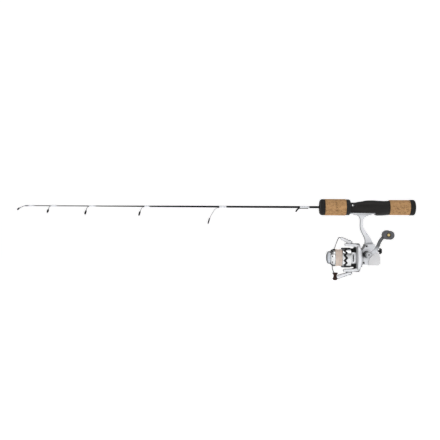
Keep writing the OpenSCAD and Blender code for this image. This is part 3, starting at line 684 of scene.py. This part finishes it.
def lip_hole_shades():
    """Black discs in the eight holes of the spool's front lip: painted shade for the dark insides of the
    holes.
    """
    low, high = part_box("spool")
    radius, depth = 12.6 * MM, 2.1 * MM
    slope, start = math.radians(62), math.radians(12)
    count = 8
    for number in range(count):
        angle = TAU * (number + 0.5) / count + start
        out = Vector((0, math.cos(angle), math.sin(angle)))
        centre = Vector((low.x + depth, SPOOL_AXIS[0], SPOOL_AXIS[1])) + radius * out
        normal = Vector((-math.cos(slope), 0, 0)) + math.sin(slope) * out
        # each disc is painted shade inside a hole
        disc(f"lip_hole_shade_{number + 1}", centre, normal, 1.15 * MM, 0.5 * MM, "spool", "small_black", 20)


def guide_eye(ring):
    """Guide ring: a black torus that covers the frame's hoop, tilted like the CAD ring."""
    low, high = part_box(ring)
    centre = (low + high) / 2
    inner = (high.y - low.y) / 2
    tilt = math.radians(40) if ring == "tip_ring" else math.radians(15)
    around, across = 48, 12
    half_width, half_depth = 1.1 * MM, 0.7 * MM
    hoop = inner - 0.1 * MM
    verts = []
    for i in range(around):
        a = TAU * i / around
        out = Vector((0, math.cos(a), math.sin(a)))
        for k in range(across):
            b = TAU * k / across
            point = (hoop + half_depth * math.cos(b)) * out + Vector((half_width * math.sin(b), 0, 0))
            turned = Vector((point.x * math.cos(tilt) + point.z * math.sin(tilt), point.y,
                             point.z * math.cos(tilt) - point.x * math.sin(tilt)))
            verts.append(tuple(centre + turned))
    faces = []
    for i in range(around):
        for k in range(across):
            a, b = i * across, (i + 1) % around * across
            n = (k + 1) % across
            faces.append((a + k, b + k, b + n, a + n))
    piece(ring + "_torus", verts, faces, "rod", SLOTS[ring], (ring,))


def rotor_shade_pads():
    """Two black pads on the rotor's sleeve, above and below the main shaft: painted shade for the shadowed
    rotor interior between the spool's skirt and the rotor arms.
    """
    inner, outer, flange = 15.05 * MM, 15.5 * MM, 17.2 * MM
    spool_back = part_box("spool")[1].x
    stroke = 6 * MM
    front = spool_back - 2 * MM
    face = spool_back + stroke + 1.7 * MM
    step = face - 1.4 * MM
    section = ((inner, front), (outer, front), (outer, step), (flange, step), (flange, face), (inner, face))
    steps, half = 20, math.radians(52)
    # each pad is painted shade: a black sheet where the inside of the rotor lies in shadow
    for name, middle in (("rotor_shade_pad_upper", math.pi / 2), ("rotor_shade_pad_lower", -math.pi / 2)):
        verts = []
        for i in range(steps + 1):
            angle = middle + half * (2 * i / steps - 1)
            for r, x in section:
                verts.append((x, SPOOL_AXIS[0] + r * math.cos(angle), SPOOL_AXIS[1] + r * math.sin(angle)))
        n = len(section)
        faces = [tuple(reversed(range(n))), tuple(range(steps * n, (steps + 1) * n))]
        for i in range(steps):
            for k in range(n):
                a, b = i * n + k, i * n + (k + 1) % n
                faces.append((a, b, b + n, a + n))
        piece(name, verts, faces, "rotor", "small_black")


# ---------- camera, light, floor ----------
def add_camera():
    """Level side view from the crank's side, far enough for the whole rod in a square frame."""
    low, high = CAD_BOX
    length = high[0] - low[0]
    camera = bpy.data.cameras.new("camera")
    camera.lens = 58.9
    camera.sensor_width = 36
    camera.clip_end = 50
    obj = link(bpy.data.objects.new("camera", camera))
    # the place, in rod lengths from the butt's end
    ahead, aside, below = 0.4894, 1.8115, 0.0336
    roll = math.radians(-0.3)
    obj.location = (high[0] - ahead * length, -aside * length, -below * length)
    obj.rotation_euler = (math.radians(90), roll, 0)
    bpy.context.scene.camera = obj


def add_area(name, location, target, size, power):
    light = bpy.data.lights.new(name, "AREA")
    light.shape = "RECTANGLE"
    light.size, light.size_y = size
    light.energy = power
    obj = link(bpy.data.objects.new(name, light))
    obj.location = location
    direction = Vector(target) - Vector(location)
    obj.rotation_euler = direction.to_track_quat("-Z", "Y").to_euler()


def add_lights():
    """Soft boxes above and at both sides under a dim sky; the bright sweep fills from below."""
    low, high = CAD_BOX
    middle = ((low[0] + high[0]) / 2, 0, (low[2] + high[2]) / 2)
    add_area("top_light", (middle[0], -0.5, 1.5), middle, (2.2, 0.8), 13)
    add_area("left_light", (middle[0] - 1.5, -1.2, 0.7), middle, (0.7, 1.2), 5)
    add_area("right_light", (middle[0] + 1.6, -0.9, 0.5), middle, (0.6, 1.2), 5)
    add_area("back_light", (middle[0], 1.7, 0.9), middle, (1.8, 0.8), 6)
    world = bpy.data.worlds.new("studio")
    world.use_nodes = True
    world.node_tree.nodes["Background"].inputs["Color"].default_value = (1, 1, 1, 1)
    world.node_tree.nodes["Background"].inputs["Strength"].default_value = 0.22
    bpy.context.scene.world = world
    bpy.context.scene.view_settings.view_transform = "Standard"


def add_floor():
    """A wide pale sweep: flat under the rod, curving up far away, softly lit through."""
    low, high = CAD_BOX
    clearance = 0.16
    centre = Vector(((low[0] + high[0]) / 2, 0, low[2] - clearance))
    flat, rise, segments = 3.0, 4.0, 96
    rings = [0.5, 1.5, flat] + [flat + rise * math.sin(math.radians(a)) for a in range(6, 90, 6)]
    heights = [0, 0, 0] + [rise * (1 - math.cos(math.radians(a))) for a in range(6, 90, 6)]
    verts = [tuple(centre)]
    for r, h in zip(rings, heights):
        for j in range(segments):
            angle = TAU * j / segments
            verts.append((centre.x + r * math.cos(angle), r * math.sin(angle), centre.z + h))
    faces = [(0, 1 + j, 1 + (j + 1) % segments) for j in range(segments)]
    for i in range(len(rings) - 1):
        for j in range(segments):
            a, b = 1 + i * segments + j, 1 + i * segments + (j + 1) % segments
            faces.append((a, a + segments, b + segments, b))
    mesh = bpy.data.meshes.new("floor")
    mesh.from_pydata(verts, [], faces)
    mesh.shade_smooth()
    floor = link(bpy.data.objects.new("floor", mesh))
    m = Nodes("floor", (0.93, 0.93, 0.93), 0.9)
    m.set("Base Color", m.mix(m.grain(6), (0.925, 0.925, 0.925), (0.935, 0.935, 0.935)))
    m.set("Emission Color", (1, 1, 1, 1))
    m.set("Emission Strength", 0.56)
    mesh.materials.append(m.material)


dress_cad_nodes()
cast_nodes()
foam_cap("front_cap", 4.5 * MM, True)
foam_cap("butt_cap", 3.2 * MM, False)
drag_dome()
skirt_band()
screw_recess_shades()
roller_caps()
lacquered_blank()
lip_hole_shades()
rotor_shade_pads()
for number in (1, 2, 3, 4):
    guide_eye(f"guide_ring_{number}")
guide_eye("tip_ring")
cork_grip("front_cork", "foregrip")
cork_grip("rear_cork", "rod")
for number in (1, 2, 3, 4):
    thread_wrap(f"guide_wrap_{number}", "rod")
thread_wrap("tip_wrap", "rod")
thread_wrap("keeper_wrap", "rod")
wound_line()
add_camera()
add_lights()
add_floor()
